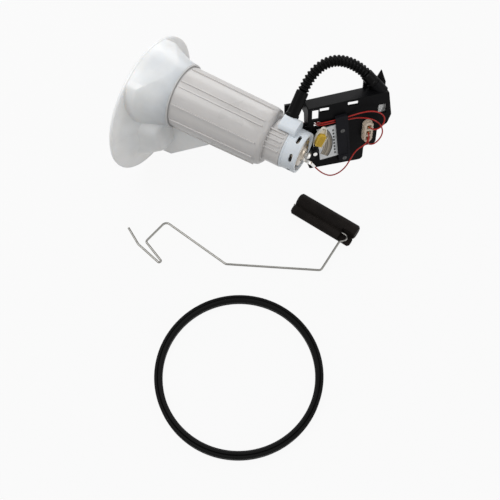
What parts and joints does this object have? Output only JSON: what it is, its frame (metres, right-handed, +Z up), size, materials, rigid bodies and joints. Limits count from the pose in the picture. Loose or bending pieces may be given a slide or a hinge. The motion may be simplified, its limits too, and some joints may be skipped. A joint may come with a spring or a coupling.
{
  "type": "fuel filter with sending unit",
  "caption": "Fuel filter canister on a round tank flange with regulator, hose, level sender carrier, loose float arm and loose seal ring",
  "frame": {"origin": "centre of the whole kit's bounding box in plan, at the floor", "axes": "X to the right and Y away from the viewer of the kit as laid out, Z up"},
  "size_m": [0.268, 0.4002, 0.1607],
  "materials": {
    "flange_plastic": "milky translucent",
    "socket_plastic": "satin",
    "brass_pins": "tinned",
    "housing_plastic": "milky translucent",
    "filter_paper": "matt",
    "element_plastic": "satin",
    "cap_plastic": "satin",
    "seal_rubber": "matt",
    "regulator_steel": "plated",
    "bright_steel": "bright",
    "hose_plastic": "satin",
    "carrier_plastic": "satin",
    "strainer_mesh": "matt",
    "cover_plastic": "satin",
    "screw_steel": "dark plated",
    "card_ceramic": "matt",
    "resistor_ink": "satin",
    "contact_metal": "satin",
    "hub_plastic": "satin",
    "wiper_plastic": "satin",
    "lever_plastic": "satin",
    "contact_spring": "satin",
    "plug_plastic": "satin",
    "terminal_brass": "satin",
    "lead_jacket": "satin",
    "arm_steel": "bright",
    "float_foam": "closed-cell",
    "ring_rubber": "matt"
  },
  "bodies": {
    "filter_unit": {"flange": "flange_plastic", "electrical_socket": "socket_plastic", "socket_pins": "brass_pins", "filter_housing": "housing_plastic", "filter_element": "filter_paper", "element_base": "element_plastic", "element_head": "element_plastic", "core_tube": "element_plastic", "end_cap": "cap_plastic", "neck_seal": "seal_rubber", "regulator_body": "regulator_steel", "regulator_nipple": "bright_steel", "regulator_seal": "seal_rubber", "regulator_clip": "bright_steel", "ground_terminal": "bright_steel", "hose": "hose_plastic", "inlet_cuff": "hose_plastic", "outlet_cuff": "hose_plastic", "carrier": "carrier_plastic", "strainer": "strainer_mesh", "jet_pump": "carrier_plastic", "sensor_cover": "cover_plastic", "cover_screws": "screw_steel", "sensor_card": "card_ceramic", "resistor_tracks": "resistor_ink", "contact_band": "contact_metal", "pivot_pin": "bright_steel", "lead_plug": "plug_plastic", "plug_terminals": "terminal_brass", "signal_lead": "lead_jacket", "supply_lead": "lead_jacket", "ground_lead": "lead_jacket"},
    "wiper": {"wiper_hub": "hub_plastic", "wiper_rotor": "wiper_plastic", "wiper_lever": "lever_plastic", "wiper_contacts": "contact_spring"},
    "float_arm": {"arm_wire": "arm_steel"},
    "float": {"float": "float_foam"},
    "seal_ring": {"seal_ring": "ring_rubber"}
  },
  "joints": [
    {"name": "wiper_swing", "type": "hinge", "parent": "filter_unit", "child": "wiper", "pos_m": [0.0614, 0.06934, 0.08622], "axis": [0.2301, -0.9428, 0.2412], "range_deg": [-42, 2]},
    {"name": "arm_slide", "type": "slide", "parent": "filter_unit", "child": "float_arm", "axis": [1, 0, 0], "range_m": [0, 0.15]},
    {"name": "float_turn", "type": "hinge", "parent": "float_arm", "child": "float", "pos_m": [0.07708, 0.03775, 0.00622], "axis": [-0.8159, 0.5783, 0], "range_deg": [-60, 0]},
    {"name": "ring_lift", "type": "slide", "parent": "filter_unit", "child": "seal_ring", "axis": [0, 0, 1], "range_m": [0, 0.15]}
  ]
}
